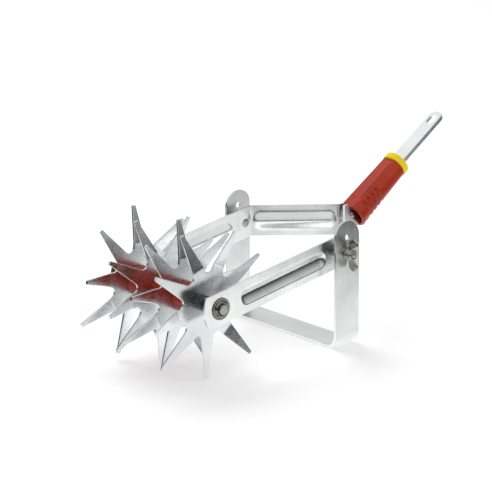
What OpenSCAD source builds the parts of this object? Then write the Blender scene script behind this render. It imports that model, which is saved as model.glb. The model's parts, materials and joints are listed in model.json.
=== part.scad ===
// Rotary hand cultivator: four star wheels on red drums roll in front, a stirrup blade
// swings behind them, and a folded frame of two mirrored strips carries a push-on handle tongue.
// X runs across the tool, +Y to the rear (the handle), +Z up. The origin is the middle of the
// stirrup blade's underside, below the stirrup's pivot. The ground is Z = 0.

/* [Strip stock] */
// Width of the zinc-plated strip of the frame and the stirrup
strip_w = 32; // [28:0.5:36]
// Thickness of the strip
strip_t = 2.5; // [2:0.1:3]

/* [Stirrup] */
// Width over the outside of the stirrup's posts
stirrup_w = 160; // [140:1:200]
// Height of the swing pivot above the ground
pivot_h = 96; // [88:1:110]
// Distance from the pivot hole up to the second, height-setting hole
hole_step = 17; // [14:0.5:24]
// Outer radius of the stirrup's lower corners
corner_r = 14; // [8:0.5:18]
// Distance from the pivot to the line where the post top starts to lean inwards
lean_start = 9; // [8.5:0.5:10.5]
// Inward lean of the post tops
lean_angle = 3; // [0:0.5:6]
// Width of the ground edge under each side of the blade
edge_w = 4; // [2:0.5:6]
// Thickness left at the blade's cutting edges
edge_t = 0.8; // [0.5:0.1:1.5]

/* [Pivot] */
// Diameter of the clamping stud
stud_d = 6; // [5:0.5:8]
// Diameter of the stud's shoulder, clinched into the arm
stud_root_d = 9; // [8:0.5:12]
// How far the stud stands out of the wing nut
stud_past = 0.5; // [0.5:0.5:4]
// Length of the spacer tube between arm and post
spacer_l = 8.5; // [6:0.5:12]
// Outer diameter of the spacer tube
spacer_d = 12; // [11:0.5:14]
// Height of the wing nut's hub
nut_h = 8; // [6:0.5:10]
// Diameter of the hub where it meets the post
nut_d = 13; // [11:0.5:14]
// Distance over the tips of the two wings
nut_span = 32; // [29:1:38]
// Height of the wing tips above the hub's seat
nut_wing_h = 13.5; // [13:0.5:18]
// Thickness of a wing
nut_wing_t = 3; // [2.5:0.1:3.5]
// Radius of a wing's round tip
nut_tip_r = 6; // [4.5:0.1:6.2]
// How much the hub narrows from the post to its outer end
nut_taper = 2.5; // [0:0.5:4]

/* [Arms] */
// Distance from the pivot forward to the axle
reach = 156; // [140:1:200]
// How far the arm's rounded nose stands past the axle
nose = 20; // [17:0.5:26]
// Radius of the nose's shallow arc
nose_r = 36; // [30:1:60]
// How far behind the pivot the arm folds towards the middle
fold_back = 8.5; // [8:0.5:16]
// Distance from the pivot back to the apex where the two halves meet
apex_back = 72.5; // [62:0.5:90]
// Height of the strip's centre line at the apex
apex_h = 98.2; // [92:0.2:104]
// Outer radius of the fold at the pivot
fold_r = 6; // [4:0.5:8]
// Radius of the reverse fold at the apex, on its hollow side
apex_r = 3; // [2:0.5:6]

/* [Pressed beads] */
// Width of the bead's hollow at the sheet's surface
bead_w = 17; // [13:0.5:19]
// Depth of the bead
bead_d = 3.8; // [2:0.1:5]
// Radius along the bottom of the hollow
bead_r = 2; // [1:0.25:3]
// Distance from the axle to the front tip of the arm's bead
bead_front = 26; // [22:0.5:50]
// Distance from the pivot to the rear tip of the arm's bead
bead_rear = 19; // [16:0.5:40]
// Flat length left at both ends of the bridge's bead
bead_margin = 1.5; // [1:0.5:12]

/* [Star wheels] */
// Radius from the axle to the tips of the flat tines
star_r = 74.2; // [60:0.2:90]
// Number of tines on one wheel, a multiple of three
tines = 9; // [6:3:12]
// Thickness of the wheel's sheet
star_t = 2; // [1.5:0.1:2.5]
// Distance of the two outer wheels from the middle
star_outer = 50.2; // [45:0.2:54]
// Distance of the two inner wheels from the middle
star_inner = 16; // [12:0.2:24]
// Radius at which the set tines are bent
bend_r = 37.5; // [36:0.5:45]
// Angle of the set tines
set_angle = 15; // [5:1:22]
// Half the width of a tine at its tip
tip_half = 1.9; // [1:0.1:4]
// Half the width of a tine at the bend
root_half = 6.8; // [5:0.1:7.5]
// Radius of the hollow between two tines at its deepest point
valley_r = 31.2; // [28:0.2:33]
// Turn of the first tine of wheels one and three, from straight ahead
phase_a = 52.8; // [0:0.1:60]
// Turn of the first tine of wheels two and four, from straight ahead
phase_b = 32.2; // [0:0.1:60]

/* [Roller] */
// Diameter of the red drums between the wheels
drum_d = 30; // [22:1:40]
// Outer diameter of the hub tube that carries wheels and drums
hub_d = 16; // [14:0.5:20]
// Diameter of the axle
axle_d = 10; // [8:0.5:12]
// Diameter of the black end bushes
bush_d = 15; // [14:0.5:20]
// Diameter of the axle caps' flange
cap_d = 21.8; // [18:0.2:28]
// Diameter of the axle caps' raised shoulder
cap_shoulder_d = 15; // [13:0.5:18]
// Height of the raised shoulder
cap_h = 2.8; // [2.3:0.1:4]
// Thickness of the caps' flange
cap_t = 1; // [0.8:0.1:1.2]
// Rounding of the shoulder's outer edge
cap_step_r = 1.2; // [0.5:0.1:1.2]
// How far the axle's end stands out of the arm
axle_end = 4.6; // [3.5:0.1:8]

/* [Handle] */
// Slope of the handle above level
handle_angle = 32.4; // [20:0.1:45]
// Distance from the apex back to the middle of the sleeve's lower end, measured level
sleeve_gap = 14.7; // [14.2:0.1:17]
// Height of the middle of the sleeve's lower end above the strip's centre line
sleeve_rise = 2.7; // [1.5:0.1:4]
// Length of the red sleeve
sleeve_l = 73; // [66:0.5:80]
// Diameter of the red sleeve at its upper end
sleeve_d = 26.4; // [25.6:0.2:28]
// Diameter of the sleeve at its lower end
sleeve_low_d = 31; // [30:0.2:34]
// Lean of the sleeve's own axis, which makes room for the fingers below
sleeve_lean = 0.8; // [0:0.1:1.2]
// Height of the sleeve's flat panel above its axis, at the upper end
panel_h = 11.1; // [10.6:0.1:12]
// Number of finger grooves in the sleeve
grooves = 4; // [2:1:5]
// Distance between two finger grooves
groove_step = 6.8; // [6:0.2:7.6]
// Depth of the finger grooves at the sleeve's sides
groove_d = 1.2; // [0.9:0.1:1.4]
// How much deeper the grooves are below, and shallower above
groove_shift = 0.8; // [0:0.1:0.9]
// Width of a finger groove
groove_w = 4.5; // [3:0.5:5.5]
// Distance from the sleeve's lower end to the first groove
groove_first = 10.5; // [10:0.5:14]
// Depth of the open mouth at the sleeve's lower end
mouth_l = 9; // [5:0.5:14]
// Wall of the sleeve round its mouth
mouth_wall = 3; // [2:0.25:4]
// Length of the yellow ring
ring_l = 7.5; // [5:0.5:12]
// How far the ring stands out round the sleeve
ring_step = 0.8; // [0.3:0.1:1.5]
// How far the tongue's tip stands above the sleeve's upper end
tongue_out = 83; // [70:1:110]
// Width of the tongue
tongue_w = 16.5; // [14:0.5:18]
// Depth of the tongue's turned-down rim
tongue_h = 5; // [4:0.25:6]
// Thickness of the tongue's sheet
tongue_t = 2; // [1.5:0.1:2.5]
// Height of the tongue's upper face above the sleeve's axis
tongue_top = 3.8; // [2.5:0.1:5]
// Width of the latch hole
latch_w = 9; // [7:0.5:10]
// Length of the latch hole
latch_l = 13; // [10:0.5:16]
// Distance from the tongue's tip to the middle of the latch hole
latch_back = 12.5; // [11:0.5:18]
// Thickness of the tang between the two frame halves
tang_t = 5; // [4:0.5:6]
// Height of the tang
tang_h = 10.6; // [8:0.2:12]
// Height of the tang's front plate between the flanges
plate_h = 16; // [15:0.5:17]
// Diameter of the rivets at the apex
rivet_d = 5; // [4:0.5:5.5]
// Height of a rivet's round head
rivet_head_h = 2; // [1.5:0.1:2.5]

/* [Hidden] */
// Clearance of a turning fit, on the radius
running = 0.1;
// Clearance of pieces that are fixed together, on the radius
snug = 0.05;
// Side play between pieces that move past each other
play = 0.3;
// Small chamfer on turned and moulded pieces
chamfer = 1;
// How far a cut runs past the face it breaks through
past = 1;
// Flat steps on each side of a bead's round bottom
bead_steps = 4;
// Flat steps round a fold of the strip
fold_steps = 6;
// Flat steps along the nose's arc
nose_steps = 8;
// Flat steps round the valley between two tines
valley_steps = 12;
// Small edge on the axle caps' pressed flange
cap_edge = 0.3;
// How far a wing's root runs into the nut's hub, and its distance from the hub's two ends
wing_sunk = 2;
wing_end = 1.5;
// Chamfer round the sleeve's mouth
mouth_edge = 1.5;
// Width and depth of the fine line beside the panel, and its distances from the panel's edges
line_w = 0.5;
line_in = 0.8;
line_end = 5;
// Rounding of the ring's outer edge
ring_edge = 1.2;
// How far a flange reaches below the tang
flange_low = 1.5;
// How far the flanges stop short of the sleeve's rim, and how far their tails reach into its mouth
rim_gap = 1.5;
tail_in = 4;
// Top of a flange's tail above the handle's axis
tail_top = 9;
// Where the rivets sit: along the handle from the sleeve's lower end, and above its axis
rivet_spots = [[-2.5, 3.5], [-11.5, -4]];
// Flat steps round the rim of the sleeve's mouth
rim_steps = 4;
$fn = 64;

arm_x = stirrup_w / 2 - strip_t - play - spacer_l;
ground_gap = 0.3;
axle_y = -reach;
axle_z = star_r + ground_gap;
arm_slope = atan2(pivot_h - axle_z, reach);
arm_l = norm([reach, pivot_h - axle_z]);
strip_rise = strip_w / cos(arm_slope);
flange_x = tang_t / 2 + strip_t;
fold_angle = atan2(arm_x - flange_x, apex_back - fold_back);
fold_start = fold_back - fold_r * tan(fold_angle / 2);
fold_end = fold_start + (fold_r - strip_t / 2) * sin(fold_angle);
fold_z = pivot_h + fold_start * tan(arm_slope);
apex_end = apex_r * tan(fold_angle / 2);
apex_start_y = apex_back + apex_end - (apex_r + strip_t / 2) * sin(fold_angle);
bridge_l = norm([arm_x - flange_x, apex_back - fold_back]) - (fold_r + apex_r) * tan(fold_angle / 2);
bridge_slope = atan2(apex_h - fold_z, bridge_l);
post_top = pivot_h + hole_step + strip_w / 2;
sleeve_r = sleeve_d / 2;
sleeve_low_r = sleeve_low_d / 2;
sleeve_cone = atan((sleeve_low_r - sleeve_r) / sleeve_l);
sleeve_top_back = apex_back + sleeve_gap + sleeve_l * cos(handle_angle);
sleeve_top_h = apex_h + sleeve_rise + sleeve_l * sin(handle_angle);
tongue_low = tongue_top - tongue_h;
tang_top = tongue_top - tongue_t;
tang_low = tang_top - tang_h;
tongue_in = 34;
weld_l = 16;
tang_end = -tongue_in + weld_l;
plate_top = tang_low + plate_h;
plate_front = -sleeve_l - 18;
plate_rear = -sleeve_l + mouth_l - play;
flange_end = -sleeve_l - rim_gap;
tail_end = -sleeve_l + tail_in;
rivet_head_r = rivet_d * 0.68;
tine_slope = (root_half - tip_half) / (star_r - bend_r);
tine_taper = atan(tine_slope);
half_pitch = 180 / tines;

// Placing

// Stands a drawing upright across the tool: its x becomes Y, its y becomes Z, its z becomes X
module upright() {
    rotate([90, 0, 90]) children();
}

// The handle's own frame: x runs up the handle from the sleeve's upper end, y square to it, z across
module on_handle() {
    upright() translate([sleeve_top_back, sleeve_top_h, 0]) rotate([0, 0, handle_angle]) children();
}

// The frame of the right arm's outer face: x runs from the axle to the pivot, z points outwards
module on_arm() {
    upright() translate([axle_y, axle_z, arm_x]) rotate([0, 0, arm_slope]) children();
}

// The frame of the right bridge's outer face, from the end of the fold to the start of the apex
module on_bridge() {
    translate([arm_x - fold_r, fold_start, 0]) rotate([0, 0, fold_angle])
        translate([fold_r, 0, fold_z]) rotate([90, 0, 90]) children();
}

// A round piece along X, from x0 to x1, about the height and place given
module across(y, z, x0, x1, r) {
    translate([x0, y, z]) rotate([0, 90, 0]) cylinder(r = r, h = x1 - x0);
}

// A turned ring along X with chamfered outer edges
module turned(y, z, x0, x1, r, bore, edge) {
    translate([x0, y, z]) rotate([0, 90, 0]) rotate_extrude()
        polygon([[bore, 0], [r - edge, 0], [r, edge], [r, x1 - x0 - edge],
                 [r - edge, x1 - x0], [bore, x1 - x0]]);
}

// The left-hand twin of a right-hand piece
module left() {
    mirror([1, 0, 0]) children();
}

// Pressed beads

// Slope of the bead's flank: the line from the rim that touches the rounded bottom
function flank(half, depth, r) = atan2(half, r - depth) - acos(r / norm([r - depth, half]));

// Half of a bead's section: down a straight flank from the rim, then round the bottom.
// The strip above the rim, up to the height lift, lets it cut or join cleanly.
function bead_half(half, depth, r, lift) =
    let (slope = flank(half, depth, r))
    concat([[0, lift], [half, lift], [half, 0]],
           [for (i = [0 : bead_steps]) let (a = slope * (1 - i / bead_steps))
               [r * sin(a), r - depth - r * cos(a)]]);

// The mirrored half, taken the other way round
function mirrored(points) = [for (i = [len(points) - 2 : -1 : 1]) [-points[i][0], points[i][1]]];

// A bead's body along x from tip to tip, pressed into z < 0, with a half cone at each end
module bead_body(l, half, depth, r, lift) {
    section = bead_half(half, depth, r, lift);
    for (end = [0, 1])
        translate([end == 0 ? half : l - half, 0, 0]) rotate([0, 0, end == 0 ? 90 : -90])
            rotate_extrude(angle = 180) polygon(section);
    translate([half, 0, 0]) rotate([90, 0, 90]) linear_extrude(l - 2 * half)
        polygon(concat(section, mirrored(section)));
}

// The ridge on the back of the sheet: the same section, one sheet thickness further out
module bead_ridge(l) {
    grow = strip_t * tan(flank(bead_w / 2, bead_d, bead_r) / 2);
    translate([-grow, 0, -strip_t])
        bead_body(l + 2 * grow, bead_w / 2 + grow, bead_d, bead_r + strip_t, strip_t / 3);
}

// The hollow on the outer face
module bead_hollow(l) {
    bead_body(l, bead_w / 2, bead_d, bead_r, past);
}

// Frame

// Points on an arc, from angle a0 to a1
function arc(middle, r, a0, a1, steps) =
    [for (i = [0 : steps]) let (a = a0 + (a1 - a0) * i / steps) middle + r * [cos(a), sin(a)]];

// A point of the side view, given along the arm from the axle and square to it
function arm_point(p) =
    [axle_y, axle_z] + [p[0] * cos(arm_slope) - p[1] * sin(arm_slope),
                        p[0] * sin(arm_slope) + p[1] * cos(arm_slope)];

// A point of the side view, given up the handle from the sleeve's upper end and square to it
function handle_point(p) =
    [sleeve_top_back, sleeve_top_h] +
    [p[0] * cos(handle_angle) - p[1] * sin(handle_angle),
     p[0] * sin(handle_angle) + p[1] * cos(handle_angle)];

// Plan of the strip: along the arm, round the fold, along the bridge, round the apex, to the tang
module strip_plan() {
    fold_middle = [arm_x - fold_r, fold_start];
    apex_middle = [flange_x + apex_r, apex_back + apex_end];
    front = axle_y - 2 * nose;
    rear = apex_back + sleeve_l;
    polygon(concat(
        [[arm_x, front]], arc(fold_middle, fold_r, 0, fold_angle, fold_steps),
        arc(apex_middle, apex_r, 180 + fold_angle, 180, fold_steps), [[flange_x, rear]],
        [[tang_t / 2, rear]], arc(apex_middle, apex_r + strip_t, 180, 180 + fold_angle, fold_steps),
        arc(fold_middle, fold_r - strip_t, fold_angle, 0, fold_steps), [[arm_x - strip_t, front]]));
}

// Side view of the strip: a shallow round nose, the sloping arm, the level bridge and the flange,
// which is bevelled along the tang below, cut square to the handle behind, and has a lower
// tail that reaches into the sleeve's mouth
module strip_side() {
    half_turn = asin(strip_w / 2 / nose_r);
    low = apex_h - strip_rise / 2;
    high = apex_h + strip_rise / 2;
    bevel = tang_low - flange_low;
    bevel_s = (low - sleeve_top_h - bevel * cos(handle_angle)) / sin(handle_angle);
    top_n = (high - sleeve_top_h - flange_end * sin(handle_angle)) / cos(handle_angle);
    polygon(concat(
        [for (p = arc([nose_r - nose, 0], nose_r, 180 - half_turn, 180 + half_turn, nose_steps))
            arm_point(p)],
        [[fold_start, fold_z - strip_rise / 2], [fold_end, fold_z - strip_rise / 2],
         [apex_start_y, low], handle_point([bevel_s, bevel]), handle_point([tail_end, bevel]),
         handle_point([tail_end, tail_top]), handle_point([flange_end, tail_top]),
         handle_point([flange_end, top_n]), [apex_start_y, high],
         [fold_end, fold_z + strip_rise / 2], [fold_start, fold_z + strip_rise / 2]]));
}

// One half of the frame: a strip folded twice, with a bead pressed into the arm and the bridge
module frame_half() {
    arm_bead = arm_l - bead_front - bead_rear;
    bridge_bead = bridge_l / cos(bridge_slope) - 2 * bead_margin;
    color("silver") difference() {
        union() {
            intersection() {
                translate([0, 0, axle_z - strip_w]) linear_extrude(post_top) strip_plan();
                upright() linear_extrude(arm_x + past) strip_side();
            }
            on_arm() translate([bead_front, 0, 0]) bead_ridge(arm_bead);
            on_bridge() rotate([0, 0, bridge_slope]) translate([bead_margin, 0, 0])
                bead_ridge(bridge_bead);
        }
        on_arm() translate([bead_front, 0, 0]) bead_hollow(arm_bead);
        on_bridge() rotate([0, 0, bridge_slope]) translate([bead_margin, 0, 0])
            bead_hollow(bridge_bead);
        across(axle_y, axle_z, arm_x - strip_t - past, arm_x + past, axle_d / 2 + snug);
        across(0, pivot_h, arm_x - strip_t - past, arm_x + past, stud_root_d / 2 + snug);
        rivet_holes();
    }
}

// The two rivet holes through flanges and tang
module rivet_holes() {
    on_handle() for (p = rivet_spots)
        translate([p[0] - sleeve_l, p[1], -flange_x - past])
            cylinder(d = rivet_d + 2 * snug, h = 2 * (flange_x + past));
}

// Roller

// How far tine n is set over: each third tine is flat, and the other two lean left and right
function set_over(n) = set_angle * (n % 3 == 0 ? 0 : n % 3 == 1 ? -1 : 1);

// A point turned about the wheel's middle
function spun(p, a) = [p[0] * cos(a) - p[1] * sin(a), p[0] * sin(a) + p[1] * cos(a)];

// Middle of the valley circle that touches both neighbouring tines and reaches down to valley_r
valley_x = ((root_half + tine_slope * bend_r) * cos(tine_taper) - valley_r)
    / (sin(half_pitch + tine_taper) - 1);
valley_rho = valley_x - valley_r;

// Where a valley circle touches a tine's side, with the tine along x
tine_touch = spun([valley_x, 0], half_pitch) - valley_rho * [sin(tine_taper), cos(tine_taper)];

// The outline of tine n, out from the bend and back, then round the valley to the next tine.
// A set tine looks shorter from the side, and the outline runs past its tip.
function tine_points(n) =
    let (seen = bend_r + (star_r - bend_r) * cos(set_over(n)),
         slope = (root_half - tip_half) / (seen - bend_r),
         end = [seen + star_t, tip_half - slope * star_t],
         swing = 90 + tine_taper + half_pitch)
    concat([[bend_r, root_half], end, [end[0], -end[1]], [bend_r, -root_half]],
           [for (p = arc([valley_x, 0], valley_rho, swing, 360 - swing, valley_steps))
               spun(p, -half_pitch)]);

// A tine's section along its length: flat out to the bend, then set over by the angle given
module tine_section(turn) {
    half = star_t / 2;
    mitre = half * tan(turn / 2);
    run = star_r - bend_r;
    tip = [bend_r + run * cos(turn), run * sin(turn)];
    square_to = half * [-sin(turn), cos(turn)];
    polygon([[valley_r - star_t, -half], [bend_r + mitre, -half], tip - square_to,
             tip + square_to, [bend_r - mitre, half], [valley_r - star_t, half]]);
}

// One wheel: a hub with round valleys, and tines that are straight, set in and set out by turns.
// The flat disc and the bent tine strips give its thickness, the outline cuts them to shape.
module star_wheel(x, phase) {
    pitch = 360 / tines;
    color("gainsboro") translate([x, axle_y, axle_z]) upright() rotate([0, 0, 180 - phase])
        difference() {
            intersection() {
                translate([0, 0, -star_r / 2]) linear_extrude(star_r)
                    polygon([for (n = [0 : tines - 1], p = tine_points(n)) spun(p, -n * pitch)]);
                union() {
                    translate([0, 0, -star_t / 2])
                        cylinder(r = (norm(tine_touch) + bend_r) / 2, h = star_t);
                    for (n = [0 : tines - 1]) rotate([90, 0, -n * pitch])
                        linear_extrude(2 * tine_touch[1] + star_t, center = true)
                            tine_section(set_over(n));
                }
            }
            translate([0, 0, -star_t]) cylinder(d = hub_d + 2 * snug, h = 2 * star_t);
        }
}

// A moulded drum that fills the space between two wheels
module drum(x0, x1) {
    color("firebrick") turned(axle_y, axle_z, x0 + star_t / 2, x1 - star_t / 2,
                              drum_d / 2, hub_d / 2 + snug, chamfer / 2);
}

// The steel tube that carries wheels and drums and turns on the axle
module hub_tube() {
    half = star_outer + star_t / 2;
    color("dimgray") turned(axle_y, axle_z, -half, half, hub_d / 2, axle_d / 2 + running, 0);
}

// The black bush that keeps the roller clear of the arm
module bush() {
    color("black") turned(axle_y, axle_z, star_outer + star_t / 2, arm_x - strip_t - play,
                          bush_d / 2, axle_d / 2 + running, chamfer);
}

// The fixed axle, headless, with chamfered ends
module axle() {
    half = arm_x + axle_end;
    color("dimgray") turned(axle_y, axle_z, -half, half, axle_d / 2, 0, chamfer / 2);
}

// The pressed cap that holds the axle in the arm: a flange, a rounded step up and a flat top
module axle_cap() {
    flange_t = cap_t;
    step_r = cap_step_r;
    bore = axle_d / 2 + snug;
    shoulder = cap_shoulder_d / 2;
    color("darkgray") translate([arm_x, axle_y, axle_z]) rotate([0, 90, 0]) rotate_extrude() {
        polygon([[bore, 0], [cap_d / 2 - cap_edge, 0], [cap_d / 2, cap_edge],
                 [cap_d / 2, flange_t - cap_edge], [cap_d / 2 - cap_edge, flange_t],
                 [shoulder, flange_t], [shoulder, cap_h - step_r],
                 [shoulder - step_r, cap_h - step_r], [shoulder - step_r, cap_h], [bore, cap_h]]);
        translate([shoulder - step_r, cap_h - step_r]) intersection() {
            circle(step_r, $fn = 32);
            square(step_r);
        }
    }
}

// Stirrup

// One post: flat to the lean line, then leaning inwards to its round top with the second hole
module post() {
    lean_z = pivot_h + lean_start;
    straight = post_top - strip_w / 2 - lean_z;
    x = stirrup_w / 2;
    hole = stud_d + 2 * running;
    difference() {
        union() {
            translate([x - strip_t, -strip_w / 2, corner_r])
                cube([strip_t, strip_w, lean_z - corner_r]);
            translate([x, 0, lean_z]) rotate([0, -lean_angle, 0]) translate([-strip_t, 0, 0])
                upright() linear_extrude(strip_t) intersection() {
                    union() {
                        translate([0, straight]) circle(d = strip_w);
                        translate([-strip_w / 2, 0]) square([strip_w, straight]);
                    }
                    translate([-strip_w, 0]) square(2 * strip_w);
                }
        }
        across(0, pivot_h, x - strip_t - past, x + past, hole / 2);
        translate([x, 0, lean_z]) rotate([0, -lean_angle, 0])
            across(0, pivot_h + hole_step - lean_z, -strip_t - past, past, hole / 2);
    }
}

// The blade's section, ground from below to a thin cutting edge front and rear
module blade_section() {
    half = strip_w / 2;
    polygon([[-half + edge_w, 0], [half - edge_w, 0], [half, strip_t - edge_t], [half, strip_t],
             [-half, strip_t], [-half, strip_t - edge_t]]);
}

module stirrup() {
    blade_half = stirrup_w / 2 - corner_r;
    color("silver") {
        upright() translate([0, 0, -blade_half]) linear_extrude(2 * blade_half) blade_section();
        for (side = [0, 1]) mirror([side, 0, 0]) {
            translate([blade_half, strip_w / 2, corner_r]) rotate([90, 0, 0]) rotate([0, 0, 270])
                rotate_extrude(angle = 90)
                    translate([corner_r - strip_t, 0]) square([strip_t, strip_w]);
            post();
        }
    }
}

// Pivots

// The threaded stud, clinched into the arm flush with its inner face
module pivot_stud() {
    seat = arm_x - strip_t;
    tip = stirrup_w / 2 + play + nut_h + stud_past;
    color("dimgray") {
        across(0, pivot_h, seat, arm_x, stud_root_d / 2);
        turned(0, pivot_h, arm_x, tip, stud_d / 2, 0, chamfer / 2);
    }
}

// The tube that keeps the post clear of the arm's bead
module pivot_spacer() {
    color("silver") turned(0, pivot_h, arm_x, arm_x + spacer_l, spacer_d / 2,
                           stud_d / 2 + snug, chamfer / 2);
}

// One wing's outline: out from the hub along y, up to a round tip at the height x
module wing_outline() {
    tip_r = nut_tip_r;
    tip = [nut_wing_h - tip_r, nut_span / 2 - tip_r];
    root = nut_d / 2 - wing_sunk;
    rise = atan2(tip[1] - root, tip[0] - tip_r);
    translate(tip) circle(tip_r, $fn = 48);
    polygon([[wing_end, root], [nut_h - wing_end, root], tip + tip_r * [sin(rise), -cos(rise)],
             tip - tip_r * [sin(rise), -cos(rise)]]);
}

module wing_nut() {
    color("gray") translate([stirrup_w / 2 + play, 0, pivot_h]) difference() {
        union() {
            rotate([0, 90, 0]) cylinder(d1 = nut_d, d2 = nut_d - nut_taper, h = nut_h);
            for (side = [0, 180]) rotate([side, 0, 0]) rotate([90, 0, 0])
                translate([0, 0, -nut_wing_t / 2]) linear_extrude(nut_wing_t) wing_outline();
        }
        rotate([0, 90, 0]) translate([0, 0, -past])
            cylinder(d = stud_d + 2 * running, h = nut_h + 2 * past);
    }
}

// Handle

// The tang: a round-ended plate riveted between the flanges, and a bar welded under the tongue
module tang() {
    color("silver") difference() {
        on_handle() translate([0, 0, -tang_t / 2]) linear_extrude(tang_t) {
            translate([plate_front + plate_h / 2, tang_low])
                square([plate_rear - plate_front - plate_h / 2, plate_h]);
            translate([plate_front + plate_h / 2, tang_low + plate_h / 2]) circle(plate_h / 2);
            translate([plate_front + plate_h / 2, tang_low])
                square([tang_end - plate_front - plate_h / 2, tang_h]);
        }
        rivet_holes();
    }
}

// The tongue's plan, with its round tip, drawn smaller by the rim's thickness for the inside
module tongue_plan(inset) {
    half = tongue_w / 2;
    translate([-tongue_in, -half + inset])
        square([tongue_out - half + tongue_in, 2 * (half - inset)]);
    translate([tongue_out - half, 0]) circle(half - inset);
}

// A pressed tray, open below, with a long round-ended latch hole near its tip
module tongue() {
    hole_s = tongue_out - latch_back;
    color("whitesmoke") on_handle() translate([0, tongue_low, 0]) rotate([-90, 0, 0]) difference() {
        linear_extrude(tongue_h) tongue_plan(0);
        translate([0, 0, -past]) linear_extrude(tongue_h - tongue_t + past) {
            tongue_plan(tongue_t);
            translate([-tongue_in - past, -tongue_w / 2 + tongue_t])
                square([2 * past, tongue_w - 2 * tongue_t]);
        }
        linear_extrude(tongue_h + past) {
            for (end = [-1, 1]) translate([hole_s + end * (latch_l - latch_w) / 2, 0])
                circle(d = latch_w);
            translate([hole_s - (latch_l - latch_w) / 2, -latch_w / 2])
                square([latch_l - latch_w, latch_w]);
        }
    }
}

// Section of the tongue, with the clearance given, drawn across the handle
module tongue_section(gap) {
    half = tongue_w / 2;
    difference() {
        translate([-half - gap, tongue_low - gap]) square([tongue_w + 2 * gap, tongue_h + 2 * gap]);
        translate([-half + tongue_t + gap, tongue_low - 2 * gap])
            square([tongue_w - 2 * (tongue_t + gap), tongue_h - tongue_t + gap]);
    }
}

// Section of the tang, with the clearance given
module tang_section(gap) {
    translate([-tang_t / 2 - gap, tang_low - gap]) square([tang_t + 2 * gap, tang_h + 2 * gap]);
}

// Draws a section across the handle, from s0 to s1 along it
module along_handle(s0, s1) {
    on_handle() translate([s0, 0, 0]) rotate([0, 90, 0]) linear_extrude(s1 - s0) children();
}

// Half the panel's width, the distance s down from the sleeve's upper end
function panel_half(s) =
    sqrt(pow(sleeve_r + s * tan(sleeve_cone), 2) - pow(panel_h + s * tan(sleeve_cone), 2));

// One finger groove, a V that leaves the panel's side and runs round below
module groove(at) {
    r = sleeve_low_r - at * tan(sleeve_cone);
    deep = 0.35 * groove_w;
    out = groove_shift + past;
    translate([at - sleeve_l, groove_shift, 0]) rotate([0, 90, 0]) rotate_extrude($fn = 96)
        polygon([[r - groove_d, deep], [r + out, -deep * out / groove_d],
                 [r + out, groove_w + (groove_w - deep) * out / groove_d]]);
}

// The moulded sleeve: a leaning cone with a flat panel on top, grooves for the fingers
// and an open mouth below
module sleeve() {
    line_s = [line_end, sleeve_l - mouth_l - line_end];
    color("firebrick") difference() {
        on_handle() rotate([0, 0, sleeve_lean]) difference() {
            rotate([0, 90, 0]) translate([0, 0, -sleeve_l]) rotate_extrude($fn = 96)
                polygon(concat([[0, mouth_l], [sleeve_low_r - mouth_wall, mouth_l],
                                [sleeve_low_r - mouth_wall, 0]],
                               arc([sleeve_low_r - mouth_edge, mouth_edge], mouth_edge, -90, 0,
                                   rim_steps),
                               [[sleeve_r - past * tan(sleeve_cone), sleeve_l + past],
                                [0, sleeve_l + past]]));
            for (i = [0 : grooves - 1]) groove(groove_first + i * groove_step);
            rotate([0, 0, -sleeve_cone]) translate([-2 * sleeve_l, panel_h, -sleeve_d])
                cube([3 * sleeve_l, sleeve_r, 2 * sleeve_d]);
            for (side = [-1, 1]) rotate([0, 0, -sleeve_cone]) translate([0, panel_h - line_w, 0])
                rotate([-90, 0, 0]) linear_extrude(line_w + past)
                    polygon([for (p = [[line_s[0], 0], [line_s[1], 0], [line_s[1], 1], [line_s[0], 1]])
                        [-p[0], side * (panel_half(p[0]) - line_in - line_w * p[1])]]);
        }
        on_handle() translate([0, -sleeve_d, -sleeve_d]) cube(2 * sleeve_d);
        along_handle(-sleeve_l, tang_end + snug) tang_section(snug);
        along_handle(-tongue_in - snug, past) tongue_section(snug);
    }
}

// The yellow ring that closes the sleeve, with the tongue's slot through it
module ring() {
    edge = ring_edge;
    r = sleeve_r + ring_step;
    color("gold") difference() {
        on_handle() rotate([0, 90, 0]) rotate_extrude($fn = 96) {
            polygon([[0, 0], [r, 0], [r, ring_l - edge], [r - edge, ring_l - edge],
                     [r - edge, ring_l], [0, ring_l]]);
            translate([r - edge, ring_l - edge]) intersection() {
                circle(edge, $fn = 32);
                square(edge);
            }
        }
        along_handle(-past, ring_l + past) tongue_section(snug);
    }
}

// The two rivets at the apex, each a shank with a round head on both flanges
module rivets() {
    // Radius of the ball whose cap has the head's radius and height
    ball = (rivet_head_r * rivet_head_r + rivet_head_h * rivet_head_h) / (2 * rivet_head_h);
    color("dimgray") on_handle() for (p = rivet_spots)
        translate([p[0] - sleeve_l, p[1], 0]) {
            cylinder(d = rivet_d, h = 2 * flange_x, center = true);
            for (side = [0, 1]) mirror([0, 0, side]) intersection() {
                translate([0, 0, flange_x + rivet_head_h - ball]) sphere(ball);
                translate([0, 0, flange_x]) cylinder(r = rivet_head_r, h = rivet_head_h);
            }
        }
}

star_wheel(-star_outer, phase_a);  // star_wheel_1
star_wheel(-star_inner, phase_b);  // star_wheel_2
star_wheel(star_inner, phase_a);  // star_wheel_3
star_wheel(star_outer, phase_b);  // star_wheel_4
drum(-star_outer, -star_inner);  // drum_left
drum(-star_inner, star_inner);  // drum_middle
drum(star_inner, star_outer);  // drum_right
hub_tube();
left() bush();  // bush_left
bush();  // bush_right
axle();
left() axle_cap();  // axle_cap_left
axle_cap();  // axle_cap_right
left() frame_half();  // frame_left
frame_half();  // frame_right
stirrup();
left() pivot_stud();  // pivot_stud_left
pivot_stud();  // pivot_stud_right
left() pivot_spacer();  // pivot_spacer_left
pivot_spacer();  // pivot_spacer_right
left() wing_nut();  // wing_nut_left
wing_nut();  // wing_nut_right
tang();
tongue();
sleeve();
ring();
rivets();
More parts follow.
